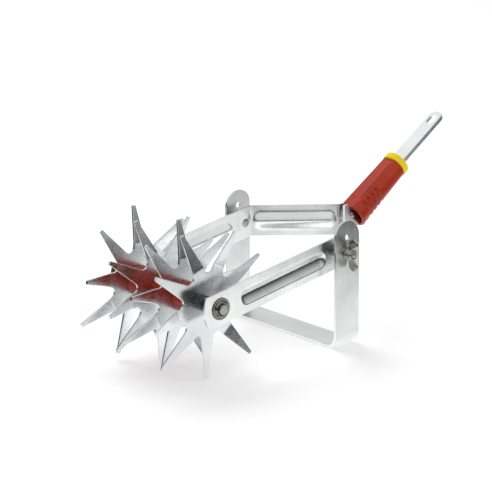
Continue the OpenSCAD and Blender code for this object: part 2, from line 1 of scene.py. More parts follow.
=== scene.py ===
# %% [markdown]
# # A rotary hand cultivator
# Four star wheels roll in front, a stirrup blade swings behind them, and a folded strip
# frame carries a red sleeve with a tongue for a long handle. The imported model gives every
# piece its size and place. This lesson dresses those pieces: it works out smooth surfaces
# with numpy, gives each finish its own node material, and sets up a plain studio.

# %% Load the frame
import json
from math import atan, atan2, cos, hypot, pi, radians, sin, tan

import bmesh
import bpy
import numpy as np
from mathutils import Matrix, Vector


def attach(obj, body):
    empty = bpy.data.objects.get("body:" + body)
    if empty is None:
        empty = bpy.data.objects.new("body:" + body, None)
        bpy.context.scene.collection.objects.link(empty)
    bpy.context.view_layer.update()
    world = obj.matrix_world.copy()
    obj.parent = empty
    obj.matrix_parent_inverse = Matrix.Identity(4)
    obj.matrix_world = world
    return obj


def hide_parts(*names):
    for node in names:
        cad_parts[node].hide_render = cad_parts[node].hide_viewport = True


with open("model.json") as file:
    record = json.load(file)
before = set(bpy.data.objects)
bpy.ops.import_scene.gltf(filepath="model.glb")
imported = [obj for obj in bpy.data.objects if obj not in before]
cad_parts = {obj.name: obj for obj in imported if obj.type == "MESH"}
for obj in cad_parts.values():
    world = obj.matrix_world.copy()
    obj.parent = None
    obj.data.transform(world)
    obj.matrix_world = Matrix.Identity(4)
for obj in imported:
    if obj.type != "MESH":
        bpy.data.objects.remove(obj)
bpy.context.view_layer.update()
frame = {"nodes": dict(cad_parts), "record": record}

MM = 0.001
print("pieces in the frame:", len(frame["nodes"]))

# %% [markdown]
# The camera stands to the right of the tool's front, a little above it, and looks along a
# long lens, so the perspective is gentle. It is placed by its bearing, its height angle
# and its distance from a point between the wheels and the stirrup. It could be dragged into
# place by eye, but numbers can be changed one at a time while the picture is compared.
# Building the rotation from three axes keeps the small roll of the picture under control.

# %% Camera
BEARING = radians(47.49)
RISE = radians(17.9)
ROLL = radians(-0.57)
DISTANCE = 1.929
AIM = Vector((-0.00088, -0.06, 0.08121))
FOCAL_PIXELS = 1963
IMAGE_PIXELS = 492
CENTRE_ROW = 263.27

forward = Vector((-sin(BEARING) * cos(RISE), cos(BEARING) * cos(RISE), -sin(RISE)))
level = Vector((cos(BEARING), sin(BEARING), 0))
upward = level.cross(forward)
right = cos(ROLL) * level + sin(ROLL) * upward
up = cos(ROLL) * upward - sin(ROLL) * level

lens = bpy.data.cameras.new("camera")
lens.sensor_width = 36
lens.lens = lens.sensor_width * FOCAL_PIXELS / IMAGE_PIXELS
lens.shift_y = (CENTRE_ROW - IMAGE_PIXELS / 2) / IMAGE_PIXELS
lens.clip_end = 20
camera = bpy.data.objects.new("camera", lens)
place = Matrix((right, up, -forward)).transposed().to_4x4()
place.translation = AIM - DISTANCE * forward
camera.matrix_world = place
bpy.context.collection.objects.link(camera)
bpy.context.scene.camera = camera
bpy.context.scene.view_settings.view_transform = "Standard"
print("camera at", [round(v, 3) for v in camera.location])

# %% [markdown]
# Bright zinc is a mirror with a soft edge, so its look is mostly the studio's. The world is
# white for the camera and for reflections, and softer for the light that falls on paint and
# plastic. One wide lamp from the back left throws the faint shadows to the front right, and a
# weak one from the right keeps the near side open. Neither lamp shows in the metal, because a
# bright square on a flat strip would look like a window.

# %% Studio
SKY = 0.62
FLOOR_GLOW = 0.3
MIRROR_GLOW = 0.95


def tree_of(owner):
    """Empties a node tree and returns its nodes and links."""
    owner.use_nodes = True
    owner.node_tree.nodes.clear()
    return owner.node_tree.nodes, owner.node_tree.links


def ray_is_one_of(nodes, links, kinds):
    """A value of 1 for the kinds of ray named, and 0 for all others."""
    path = nodes.new("ShaderNodeLightPath")
    total = path.outputs[kinds[0]]
    for kind in kinds[1:]:
        sum_node = nodes.new("ShaderNodeMath")
        sum_node.operation = "MAXIMUM"
        links.new(total, sum_node.inputs[0])
        links.new(path.outputs[kind], sum_node.inputs[1])
        total = sum_node.outputs[0]
    return total


world = bpy.data.worlds.new("studio")
bpy.context.scene.world = world
nodes, links = tree_of(world)
soft, white = nodes.new("ShaderNodeBackground"), nodes.new("ShaderNodeBackground")
soft.inputs["Color"].default_value = (1, 1, 1, 1)
soft.inputs["Strength"].default_value = SKY
white.inputs["Color"].default_value = (1, 1, 1, 1)
white.inputs["Strength"].default_value = 1
either = nodes.new("ShaderNodeMixShader")
links.new(ray_is_one_of(nodes, links, ["Is Camera Ray", "Is Glossy Ray", "Is Transmission Ray"]),
          either.inputs["Fac"])
links.new(soft.outputs[0], either.inputs[1])
links.new(white.outputs[0], either.inputs[2])
links.new(either.outputs[0], nodes.new("ShaderNodeOutputWorld").inputs["Surface"])


def lamp(name, place, size, power):
    """A square area lamp at the place given, which faces the tool."""
    light = bpy.data.lights.new(name, "AREA")
    light.shape = "SQUARE"
    light.size = size
    light.energy = power
    item = bpy.data.objects.new(name, light)
    item.location = place
    item.rotation_euler = (AIM - Vector(place)).to_track_quat("-Z", "Y").to_euler()
    bpy.context.collection.objects.link(item)
    return item


key_lamp = lamp("key_lamp", place=(-1.15, 0.25, 1.5), size=1.1, power=16)
fill_lamp = lamp("fill_lamp", place=(1.5, 0.9, 0.8), size=1.2, power=5)
key_lamp.visible_glossy = fill_lamp.visible_glossy = False
print("lamps:", key_lamp.name, fill_lamp.name)

# %% [markdown]
# The floor is one large pale sheet. It glows a little for the camera, which lifts it to the
# white of the background, so that only the soft shadows stay. It glows more strongly for
# reflections, so that the zinc has a bright table to mirror. A shadow catcher could do the
# first of these, but not the second. The glow's strength is the sum of two products: each
# kind of ray, as 0 or 1, times its own level.

# %% Floor
FLOOR_WHITE = (0.86, 0.86, 0.86, 1)
FLOOR_HALF = 4
FLOOR_Z = -0.0002


def sheet_object(name, corners, material):
    """A flat stage sheet through four corners."""
    mesh = bpy.data.meshes.new(name)
    mesh.from_pydata([tuple(c) for c in corners], [], [(0, 1, 2, 3)])
    mesh.materials.append(material)
    item = bpy.data.objects.new(name, mesh)
    bpy.context.collection.objects.link(item)
    return item


floor_paint = bpy.data.materials.new("floor_paint")
nodes, links = tree_of(floor_paint)
matt = nodes.new("ShaderNodeBsdfDiffuse")
matt.inputs["Color"].default_value = FLOOR_WHITE
glow = nodes.new("ShaderNodeEmission")
mirror_level = nodes.new("ShaderNodeMath")
mirror_level.operation = "MULTIPLY"
mirror_level.inputs[1].default_value = MIRROR_GLOW
glow_level = nodes.new("ShaderNodeMath")
glow_level.operation = "MULTIPLY_ADD"
glow_level.inputs[1].default_value = FLOOR_GLOW
links.new(ray_is_one_of(nodes, links, ["Is Glossy Ray", "Is Transmission Ray"]), mirror_level.inputs[0])
links.new(ray_is_one_of(nodes, links, ["Is Camera Ray"]), glow_level.inputs[0])
links.new(mirror_level.outputs[0], glow_level.inputs[2])
links.new(glow_level.outputs[0], glow.inputs["Strength"])
both = nodes.new("ShaderNodeAddShader")
links.new(matt.outputs[0], both.inputs[0])
links.new(glow.outputs[0], both.inputs[1])
links.new(both.outputs[0], nodes.new("ShaderNodeOutputMaterial").inputs["Surface"])

floor = sheet_object("floor", [(-FLOOR_HALF, -FLOOR_HALF, FLOOR_Z), (FLOOR_HALF, -FLOOR_HALF, FLOOR_Z),
                               (FLOOR_HALF, FLOOR_HALF, FLOOR_Z), (-FLOOR_HALF, FLOOR_HALF, FLOOR_Z)],
                     floor_paint)
print(floor.name, 2 * FLOOR_HALF, "m wide")

# %% [markdown]
# A mirror needs something dark to draw its edges with. A photographer stands black card round
# the table. Here one curved sheet stands up as a low wall of black card and fades out again at
# its top. The part that lies on the floor is painted shade: thin as a veil near the tool and
# blacker outwards, it paints the table's light falling off with distance, as the metal mirrors
# it. Only reflections see it: it throws no shadow, and the camera looks through it. Separate
# cards would each draw a hard edge in the strips, and one sheet with graded darkness doesn't.
# Its profile gives, for each line of points, the distance from the middle, the height and a
# number that says how black the sheet is there.

# %% Black card
CARD_FROM, CARD_TO, CARD_STEPS = radians(-195), radians(100), 61
CARD_MIDDLE_Y = -0.04
# Black of the card wall, and of the painted shade where the sheet lies on the floor.
CARD_AND_SHADE_BLACK = (0.012, 0.012, 0.013, 1)
LYING, WALL_AT = 0.0005, 0.6
# Rows that lie on the floor are painted shade, the falloff of the table's light in reflections; the rows of
# the wall are the black card.
CARD_PROFILE = np.array([(0.08, LYING, 0), (0.12, LYING, 0.22), (0.3, LYING, 0.24), (0.37, LYING, 0.42),
                         (0.43, LYING, 0.7), (0.5, LYING, 0.88), (WALL_AT, LYING, 0.92),
                         (WALL_AT, 0.08, 1), (WALL_AT, 0.17, 1), (WALL_AT, 0.23, 0.65), (WALL_AT, 0.34, 0)])
CARD_POINTS = len(CARD_PROFILE)

card_paint = bpy.data.materials.new("card_paint")
nodes, links = tree_of(card_paint)
black, clear = nodes.new("ShaderNodeBsdfDiffuse"), nodes.new("ShaderNodeBsdfTransparent")
black.inputs["Color"].default_value = CARD_AND_SHADE_BLACK
dark_share, veil = nodes.new("ShaderNodeAttribute"), nodes.new("ShaderNodeMixShader")
dark_share.attribute_name = "dark"
links.new(dark_share.outputs["Fac"], veil.inputs["Fac"])
links.new(clear.outputs[0], veil.inputs[1])
links.new(black.outputs[0], veil.inputs[2])
links.new(veil.outputs[0], nodes.new("ShaderNodeOutputMaterial").inputs["Surface"])

around = np.linspace(CARD_FROM, CARD_TO, CARD_STEPS)[:, None]
reach, high, dark = (np.broadcast_to(column, (CARD_STEPS, CARD_POINTS)) for column in CARD_PROFILE.T)
spots = np.stack([reach * np.cos(around), reach * np.sin(around) + CARD_MIDDLE_Y, high], axis=-1)
corner = (np.arange(CARD_STEPS - 1)[:, None] * CARD_POINTS + np.arange(CARD_POINTS - 1)).ravel()
quads = np.stack([corner, corner + 1, corner + 1 + CARD_POINTS, corner + CARD_POINTS], axis=1)
mesh = bpy.data.meshes.new("card")
mesh.from_pydata(spots.reshape(-1, 3), [], quads.tolist())
mesh.attributes.new("dark", "FLOAT", "POINT").data.foreach_set("value", dark.ravel().astype(np.float32))
mesh.materials.append(card_paint)
card = bpy.data.objects.new("card", mesh)
bpy.context.collection.objects.link(card)
card.visible_camera = card.visible_diffuse = card.visible_shadow = False
card.visible_transmission = False
print("card:", len(quads), "faces")

# %% [markdown]
# Every finish is a Principled shader whose colour, roughness and bump come from noise on
# Object coordinates. Because each piece's object sits at the origin, one noise runs through
# all pieces without a seam, and it goes along with a piece that is moved by its joint. The
# helpers below each add one kind of node, so that a finish reads as a short list of steps.
# Painted pictures could give more detail, but they need flattened surfaces and extra files.

# %% Material helpers


def noise(nodes, links, scale, detail=4, stretch=(1, 1, 1), turn=(0, 0, 0)):
    """Noise on Object coordinates, drawn out along axes with a small stretch and turned after that."""
    place = nodes.new("ShaderNodeTexCoord")
    mapping = nodes.new("ShaderNodeMapping")
    mapping.inputs["Scale"].default_value = stretch
    mapping.inputs["Rotation"].default_value = turn
    texture = nodes.new("ShaderNodeTexNoise")
    texture.inputs["Scale"].default_value = scale
    texture.inputs["Detail"].default_value = detail
    links.new(place.outputs["Object"], mapping.inputs["Vector"])
    links.new(mapping.outputs[0], texture.inputs["Vector"])
    return texture.outputs["Fac"]


def between(nodes, links, value, low, high, start=0.3, end=0.7):
    """Maps a value from start..end onto low..high."""
    node = nodes.new("ShaderNodeMapRange")
    for socket, number in zip(("From Min", "From Max", "To Min", "To Max"), (start, end, low, high)):
        node.inputs[socket].default_value = number
    links.new(value, node.inputs["Value"])
    return node.outputs[0]


def tint(nodes, links, value, dark, light):
    """A colour between two, chosen by a value from 0 to 1."""
    node = nodes.new("ShaderNodeMix")
    node.data_type = "RGBA"
    node.inputs["A"].default_value = (*dark, 1)
    node.inputs["B"].default_value = (*light, 1)
    links.new(value, node.inputs["Factor"])
    return node.outputs["Result"]


def bump(nodes, links, value, depth, below=None):
    """A bump of the depth given, in metres, which may lie on another bump."""
    node = nodes.new("ShaderNodeBump")
    node.inputs["Strength"].default_value = 1
    node.inputs["Distance"].default_value = depth
    links.new(value, node.inputs["Height"])
    if below:
        links.new(below, node.inputs["Normal"])
    return node.outputs[0]


def shader_of(name):
    """A new material with a Principled shader; returns material, nodes, links and shader."""
    material = bpy.data.materials.new(name)
    nodes, links = tree_of(material)
    shader = nodes.new("ShaderNodeBsdfPrincipled")
    links.new(shader.outputs[0], nodes.new("ShaderNodeOutputMaterial").inputs["Surface"])
    return material, nodes, links, shader

# %% [markdown]
# Zinc plate on rolled strip: the roll leaves fine lines along the strip, the plating a faint
# cloud of lighter and darker patches, and handling a few dull spots. All three are small, so
# the metal still reads as bright. The pieces differ in tone, in gloss and in the direction of
# the grain, and the fasteners also have shallow dents, which break up what they mirror. The
# tongue's noise is turned after it is drawn out, so its grain keeps to Y, but it shows
# another part of the pattern than the strips do.

# %% Metal finishes
CLOUD_SCALE, LINE_SCALE, PATCH_SCALE = 26, 900, 130
LINE_DULLING, SPOT_RANGE = 0.08, (0.45, 0.75)
CLOUD_TO_LINE = 20
HANDLE_ANGLE = radians(32.4)
WHEEL_GRAIN, ALONG_Y, ALONG_Z, NO_GRAIN = (1, 0.06, 1), (1, 0.04, 1), (1, 1, 0.04), (1, 1, 1)


def plated(name, dark, light, rough, grain, turn=(0, 0, 0), depth=0.000004, spots=0.12, dent=0):
    """Bright metal with rolled grain, clouds of tone, dull spots and, where asked for, dents.

    Roughness is the sum of a little from the grain's lines and a level that rises in spots.
    """
    material, nodes, links, shader = shader_of(name)
    cloud = noise(nodes, links, CLOUD_SCALE, detail=5)
    lines = noise(nodes, links, LINE_SCALE, detail=3, stretch=grain, turn=turn)
    patch = noise(nodes, links, PATCH_SCALE, detail=6)
    shader.inputs["Metallic"].default_value = 1
    tone = between(nodes, links, cloud, 0, 1)
    links.new(tint(nodes, links, tone, dark, light), shader.inputs["Base Color"])
    mixed = nodes.new("ShaderNodeMath")
    mixed.operation = "ADD"
    links.new(between(nodes, links, lines, 0, LINE_DULLING), mixed.inputs[0])
    links.new(between(nodes, links, patch, rough, rough + spots, *SPOT_RANGE), mixed.inputs[1])
    links.new(mixed.outputs[0], shader.inputs["Roughness"])
    below = bump(nodes, links, cloud, depth * CLOUD_TO_LINE)
    if dent:
        below = bump(nodes, links, patch, dent, below)
    links.new(bump(nodes, links, lines, depth, below), shader.inputs["Normal"])
    return material


wheel_zinc = plated("wheel_zinc", dark=(0.58, 0.6, 0.61), light=(0.68, 0.7, 0.7), rough=0.19,
                    grain=WHEEL_GRAIN, spots=0.06)
strip_zinc = plated("strip_zinc", dark=(0.62, 0.63, 0.63), light=(0.73, 0.74, 0.74), rough=0.19,
                    grain=ALONG_Y, spots=0.06)
stirrup_zinc = plated("stirrup_zinc", dark=(0.57, 0.58, 0.58), light=(0.67, 0.68, 0.68), rough=0.3,
                      grain=ALONG_Z, spots=0.06)
tongue_zinc = plated("tongue_zinc", dark=(0.78, 0.79, 0.8), light=(0.88, 0.89, 0.9), rough=0.44,
                     grain=ALONG_Y, turn=(-HANDLE_ANGLE, 0, 0), spots=0.06)
fastener_zinc = plated("fastener_zinc", dark=(0.19, 0.19, 0.18), light=(0.36, 0.36, 0.345), rough=0.07,
                       grain=NO_GRAIN, depth=0.00001, spots=0.08, dent=0.0012)
dark_steel = plated("dark_steel", dark=(0.11, 0.103, 0.092), light=(0.22, 0.205, 0.185), rough=0.13,
                    grain=NO_GRAIN, depth=0.00001, spots=0.12)
METALS = [wheel_zinc, strip_zinc, stirrup_zinc, tongue_zinc, fastener_zinc, dark_steel]
print("metals:", [metal.name for metal in METALS])

# %% [markdown]
# The plastics are moulded: a fine orange-peel in the gloss, a slow change of tone where the
# melt cooled unevenly, and a little dust in the dull spots. Red, yellow and black differ in
# colour and gloss alone, so one function makes them all.

# %% Moulded finishes
MELT_SCALE, PEEL_SCALE, DUST_SCALE = 34, 1400, 260
DUST_DULLING, DUST_RANGE = 0.14, (0.4, 0.75)


def moulded(name, dark, light, rough, peel=0.00002, specular=0.5):
    """Moulded plastic with a fine peel and uneven gloss."""
    material, nodes, links, shader = shader_of(name)
    slow = noise(nodes, links, MELT_SCALE, detail=4)
    fine = noise(nodes, links, PEEL_SCALE, detail=2)
    dust = noise(nodes, links, DUST_SCALE, detail=6)
    tone = between(nodes, links, slow, 0, 1)
    links.new(tint(nodes, links, tone, dark, light), shader.inputs["Base Color"])
    dulled = between(nodes, links, dust, rough, rough + DUST_DULLING, *DUST_RANGE)
    links.new(dulled, shader.inputs["Roughness"])
    shader.inputs["Specular IOR Level"].default_value = specular
    links.new(bump(nodes, links, fine, peel), shader.inputs["Normal"])
    return material


drum_plastic = moulded("drum_plastic", dark=(0.36, 0.018, 0.006), light=(0.5, 0.035, 0.01), rough=0.26,
                       specular=0.3)
sleeve_plastic = moulded("sleeve_plastic", dark=(0.36, 0.022, 0.006), light=(0.46, 0.036, 0.009), rough=0.2,
                         specular=0.3)
ring_plastic = moulded("ring_plastic", dark=(0.88, 0.66, 0.006), light=(0.96, 0.76, 0.012), rough=0.36,
                       specular=0.3)
bush_plastic = moulded("bush_plastic", dark=(0.05, 0.05, 0.05), light=(0.085, 0.085, 0.085), rough=0.42)
PLASTICS = [drum_plastic, sleeve_plastic, ring_plastic, bush_plastic]
print("plastics:", [plastic.name for plastic in PLASTICS])

# %% [markdown]
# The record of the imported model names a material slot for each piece, and tells which body
# each piece moves with. Both are looked up here once. The plain pieces get their finish now,
# and a new piece asks for the same slot and body later, so the two can't drift apart.

# %% Finish for each carried-over piece
FINISH = {"wheel_steel": wheel_zinc, "strip_steel": strip_zinc, "tongue_steel": tongue_zinc,
          "fastener_steel": fastener_zinc, "dark_steel": dark_steel, "drum_red": drum_plastic,
          "bush_black": bush_plastic, "sleeve_red": sleeve_plastic, "ring_yellow": ring_plastic}
slot_of = {row["node"]: row["material_slot"] for row in frame["record"]["subparts"]}
body_of = {node: body for body, held in frame["record"]["behaviour"]["bodies"].items()
           for node in held}
for name, item in frame["nodes"].items():
    item.data.materials.clear()
    item.data.materials.append(FINISH[slot_of[name]])
print("slots:", len(FINISH), "bodies:", len(set(body_of.values())))

# %% [markdown]
# Each new piece is one or more grids of points. A grid's faces need no list by hand: the
# corner numbers of all its quads follow from the row and column numbers. Doubles along seams
# and at poles are merged, closed shapes get their faces turned outwards, and the piece then
# rides on the body of the node that it replaces.

# %% From grids to pieces
MERGE, SLIVER, COPY_MERGE = 0.004, 0.001, 0.002
SOFTEN_FROM, SAME_PLANE = radians(38), radians(0.5)
FLAT_FROM = 30


def faces_of(rows, cols):
    """Corner numbers of the quads of a grid that is stored row by row."""
    row, col = np.meshgrid(np.arange(rows - 1), np.arange(cols - 1), indexing="ij")
    first = (row * cols + col).ravel()
    return np.stack([first, first + cols, first + cols + 1, first + 1], axis=1)


def piece(name, grids, node, wall=None, edge=None, turn=True):
    """Builds a piece from grids in millimetres.

    Wall is a sheet's thickness and the side it grows to (0 both, -1 inwards), edge is the
    width of its softened corners, and turn is off for a sheet that already faces outwards.
    """
    points, faces, count = [], [], 0
    for grid in grids:
        points.append(grid.reshape(-1, 3) * MM)
        faces.append(faces_of(*grid.shape[:2]) + count)
        count += points[-1].shape[0]
    mesh = bpy.data.meshes.new(name)
    mesh.from_pydata(np.concatenate(points), [], np.concatenate(faces).tolist())
    shape = bmesh.new()
    shape.from_mesh(mesh)
    bmesh.ops.remove_doubles(shape, verts=shape.verts, dist=MERGE * MM)
    bmesh.ops.dissolve_degenerate(shape, edges=shape.edges, dist=SLIVER * MM)
    if turn:
        bmesh.ops.recalc_face_normals(shape, faces=shape.faces)
    shape.to_mesh(mesh)
    shape.free()
    return dress(name, mesh, node, wall=wall, edge=edge)


def dress(name, mesh, node, finish=None, wall=None, edge=None, segments=2):
    """Gives a mesh its finish and modifiers, and lets it stand for a node."""
    mesh.polygons.foreach_set("use_smooth", np.ones(len(mesh.polygons), dtype=bool))
    mesh.materials.clear()
    mesh.materials.append(finish or FINISH[slot_of[node]])
    item = bpy.data.objects.new(name, mesh)
    bpy.context.collection.objects.link(item)
    if wall:
        sheet = item.modifiers.new("wall", "SOLIDIFY")
        sheet.thickness, sheet.offset = wall[0] * MM, wall[1]
        sheet.use_even_offset = True
    if edge:
        soft_edge = item.modifiers.new("edge", "BEVEL")
        soft_edge.width, soft_edge.segments = edge * MM, segments
        soft_edge.limit_method, soft_edge.angle_limit = "ANGLE", SOFTEN_FROM
        level_faces = item.modifiers.new("level", "WEIGHTED_NORMAL")
        level_faces.keep_sharp = True
    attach(item, body_of[node])
    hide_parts(node)
    print(name, len(mesh.vertices), "points")
    return item


def softened(node, edge, finish=None, segments=2):
    """A copy of a node's own mesh with softened corners.

    Its triangles are joined up where they lie in one plane. Faces of more than FLAT_FROM
    square millimetres are shaded flat, so that no false gradient runs across them.
    """
    mesh = frame["nodes"][node].data.copy()
    shape = bmesh.new()
    shape.from_mesh(mesh)
    bmesh.ops.remove_doubles(shape, verts=shape.verts, dist=COPY_MERGE * MM)
    bmesh.ops.dissolve_limit(shape, angle_limit=SAME_PLANE, verts=shape.verts, edges=shape.edges)
    shape.to_mesh(mesh)
    shape.free()
    item = dress(node + "_dressed", mesh, node, finish, edge=edge, segments=segments)
    areas = np.empty(len(mesh.polygons))
    mesh.polygons.foreach_get("area", areas)
    mesh.polygons.foreach_set("use_smooth", areas < FLAT_FROM * MM**2)
    return item

# %% [markdown]
# A star wheel is stamped from 2 mm sheet. Its nine tines have one outline, so one ninth of
# the wheel is enough: a sector from the bore to the line between two valleys, then the tine
# itself, whose half width is a formula of the distance from the axle. Two tines of each
# three are set over to the left and right, and the bend is a short round one. The sheet is
# modelled as its middle surface and then gets its wall and softened edges. Cutting the
# outline from a disc would be quicker, but the cuts leave long thin triangles, and a bend
# needs rows of points to bend along. Neighbouring wheels are turned by about half the step
# from tine to tine.

# %% Star wheel
STAR_R, BORE_R, BEND_R, VALLEY_R = 74.2, 8.05, 37.5, 31.2
TIP_HALF, ROOT_HALF, SHEET, SET_ANGLE = 1.9, 6.8, 2.0, radians(15)
TINES, BEND_HALF, SHEET_EDGE = 9, 1.6, 0.3
COLUMNS, HUB_ROWS, VALLEY_ROWS, BEND_ROWS, TINE_ROWS = 9, 9, 9, 7, 24
CROWDING, BEND_REACH, BLADE_FROM = 1.6, 1.2, 3
HALF_PITCH = pi / TINES
SLOPE = (ROOT_HALF - TIP_HALF) / (STAR_R - BEND_R)
TAPER = atan(SLOPE)
AXLE_Y, AXLE_Z = -156.0, 74.5
VALLEY_X = ((ROOT_HALF + SLOPE * BEND_R) * cos(TAPER) - VALLEY_R) / (sin(HALF_PITCH + TAPER) - 1)
VALLEY_RHO = VALLEY_X - VALLEY_R


def tine_half(x):
    """Half a tine's width: the valley's arc at first, then the straight taper to the tip."""
    middle = VALLEY_X * np.array([cos(HALF_PITCH), sin(HALF_PITCH)])
    touch = middle[0] - VALLEY_RHO * sin(TAPER)
    dip = np.sqrt(np.maximum(VALLEY_RHO**2 - (np.minimum(x, touch) - middle[0])**2, 0))
    return np.where(x < touch, middle[1] - dip, ROOT_HALF - SLOPE * (x - BEND_R))


def set_over(x, turn):
    """Lays lengths along a tine round its bend: straight, a short arc, straight again."""
    size = abs(turn)
    if size == 0:
        return x, 0 * x
    radius = 2 * BEND_HALF / size
    bent = np.clip((x - BEND_R + BEND_HALF) / radius, 0, size)
    far = np.maximum(x - BEND_R - BEND_HALF, 0)
    seen = np.minimum(x, BEND_R - BEND_HALF) + radius * np.sin(bent) + far * cos(size)
    return seen, np.sign(turn) * (radius * (1 - np.cos(bent)) + far * sin(size))


def sector(turn):
    """One ninth of a wheel, its tine along x, as a grid of rows outwards and columns across."""
    across = np.linspace(-1, 1, COLUMNS)
    chord = VALLEY_R * cos(HALF_PITCH)
    inner = BORE_R * np.stack([np.cos(across * HALF_PITCH), np.sin(across * HALF_PITCH)], axis=1)
    outer = np.stack([np.full(COLUMNS, chord), across * chord * tan(HALF_PITCH)], axis=1)
    share = np.linspace(0, 1, HUB_ROWS + 1)[:-1, None, None]
    hub = (1 - share) * inner + share * outer
    valley = chord + (VALLEY_X * cos(HALF_PITCH) - chord) * np.linspace(0, 1, VALLEY_ROWS)**CROWDING
    bend = BEND_R + BEND_HALF * np.linspace(-BEND_REACH, BEND_REACH, BEND_ROWS)
    x = np.concatenate([valley, bend, np.linspace(BEND_R + BLADE_FROM, STAR_R, TINE_ROWS)])
    seen, lifted = set_over(x, turn)
    plate = np.stack([np.broadcast_to(seen[:, None], (len(x), COLUMNS)),
                      tine_half(x)[:, None] * across], axis=2)
    flat = np.concatenate([hub, plate])
    height = np.concatenate([np.zeros(HUB_ROWS), lifted])[:, None, None]
    return np.concatenate([flat, np.broadcast_to(height, (len(height), COLUMNS, 1))], axis=2)


def spun_onto_axle(grid, angle, x):
    """Turns a grid in the wheel's plane and stands it on the axle at x."""
    a, b, c = grid[..., 0], grid[..., 1], grid[..., 2]
    return np.stack([x + c, AXLE_Y + a * cos(angle) - b * sin(angle),
                     AXLE_Z + a * sin(angle) + b * cos(angle)], axis=-1)


SET_ORDER = (0, -1, 1)
OUTER_X, INNER_X = 50.2, 16.0
EVEN_TURN, ODD_TURN = radians(32.2), radians(52.8)
WHEELS = {"star_wheel_1": (-OUTER_X, ODD_TURN), "star_wheel_2": (-INNER_X, EVEN_TURN),
          "star_wheel_3": (INNER_X, ODD_TURN), "star_wheel_4": (OUTER_X, EVEN_TURN)}
for node, (x, wheel_turn) in WHEELS.items():
    sectors = [spun_onto_axle(sector(SET_ANGLE * SET_ORDER[n % 3]),
                              pi - wheel_turn - 2 * HALF_PITCH * n, x) for n in range(TINES)]
    piece(node + "_sheet", sectors, node, wall=(SHEET, 0), edge=SHEET_EDGE)

# %% [markdown]
# Each half of the frame is one strip, folded twice. Seen from above it follows a line with
# two arcs, seen from the side it is a band between two edge lines, and a bead is pressed into
# the arm and into the bridge. So the sheet is a grid of places along and across the band,
# the plan gives each its place across the tool, and the bead moves it inwards by a depth
# that depends on its place along and beside the bead's own line. Bending a flat strip with
# modifiers is the other way, but there each bend upsets the one before it, while here folds
# and beads are terms of one sum and can be changed one by one.

# %% Frame strip
STRIP_W, STRIP_T, ARM_X, FLANGE_X = 32.0, 2.5, 68.7, 5.0
PIVOT_H, NOSE, NOSE_R, FOLD_R, APEX_R = 96.0, 20.0, 36.0, 6.0, 3.0
FOLD_BACK, APEX_BACK, APEX_H = 8.5, 72.5, 98.2
BEAD_W, BEAD_D, STRIP_EDGE = 17.0, 3.9, 0.35
BEAD_FRONT, BEAD_REAR, BEAD_MARGIN = 26.0, 19.0, 1.5
ARM_BEAD = {"cap": 8.5, "valley": 1.5, "hollow": 1.35, "soft": 0.12, "rim": 0.1}
BRIDGE_BEAD = {"cap": 7, "valley": 0, "hollow": 1.05, "soft": 0.5, "rim": 0.4}
CAP_FADE, SMALLEST_SHRINK = 6, 1e-9
EDGE_ROWS, BEAD_ROWS, BEAD_SHARE = 8, 61, 0.56
ARM_COLUMNS, FOLD_COLUMNS, BRIDGE_COLUMNS = 240, 10, 110
SLEEVE_L, SLEEVE_GAP, SLEEVE_RISE = 73.0, 14.7, 2.7
SLEEVE_TOP = np.array([APEX_BACK + SLEEVE_GAP + SLEEVE_L * cos(HANDLE_ANGLE),
                       APEX_H + SLEEVE_RISE + SLEEVE_L * sin(HANDLE_ANGLE)])
FLANGE_END, TAIL_END, TAIL_TOP, FLANGE_LOW = -SLEEVE_L - 1.5, -SLEEVE_L + 4, 9.0, -10.3
STEP_ROW, STEP_RISE = 50, 0.25
BEND_COLUMN, BEND_SHARE, BEND_COLUMNS, TAIL_COLUMNS = 14, 0.16, 10, 22

arm_slope = atan2(PIVOT_H - AXLE_Z, -AXLE_Y)
arm_l = hypot(PIVOT_H - AXLE_Z, AXLE_Y)
rise = STRIP_W / cos(arm_slope)
fold_angle = atan2(ARM_X - FLANGE_X, APEX_BACK - FOLD_BACK)
fold_start = FOLD_BACK - FOLD_R * tan(fold_angle / 2)
fold_z = PIVOT_H + fold_start * tan(arm_slope)
apex_end = APEX_R * tan(fold_angle / 2)
bridge_l = hypot(ARM_X - FLANGE_X, APEX_BACK - FOLD_BACK) - (FOLD_R + APEX_R) * tan(fold_angle / 2)
bridge_slope = atan2(APEX_H - fold_z, bridge_l)


def handle_point(s, n):
    """A point of the side view, given along the handle and square to it, as (y, z)."""
    return SLEEVE_TOP + np.array([s * cos(HANDLE_ANGLE) - n * sin(HANDLE_ANGLE),
                                  s * sin(HANDLE_ANGLE) + n * cos(HANDLE_ANGLE)])


def plan(y):
    """The outer face's place across the tool, and the angle of its normal, for each y."""
    near = np.array([ARM_X - FOLD_R, fold_start])
    far = np.array([FLANGE_X + APEX_R, APEX_BACK + apex_end])
    fold_end = near[1] + FOLD_R * sin(fold_angle)
    apex_start = far[1] - APEX_R * sin(fold_angle)
    in_fold = np.arcsin(np.clip((y - near[1]) / FOLD_R, 0, sin(fold_angle)))
    in_apex = np.arcsin(np.clip((far[1] - y) / APEX_R, 0, sin(fold_angle)))
    along_bridge = np.clip(y - fold_end, 0, apex_start - fold_end)
    x = near[0] + FOLD_R * np.cos(in_fold) - along_bridge * tan(fold_angle)
    x = np.where(y > apex_start, far[0] - APEX_R * np.cos(in_apex), x)
    return x, np.where(y > apex_start, in_apex, in_fold)


def smaller(a, b, soft=0.15):
    """The smaller of two lengths, with the seam between them rounded."""
    return -soft * np.logaddexp(-a / soft, -b / soft)


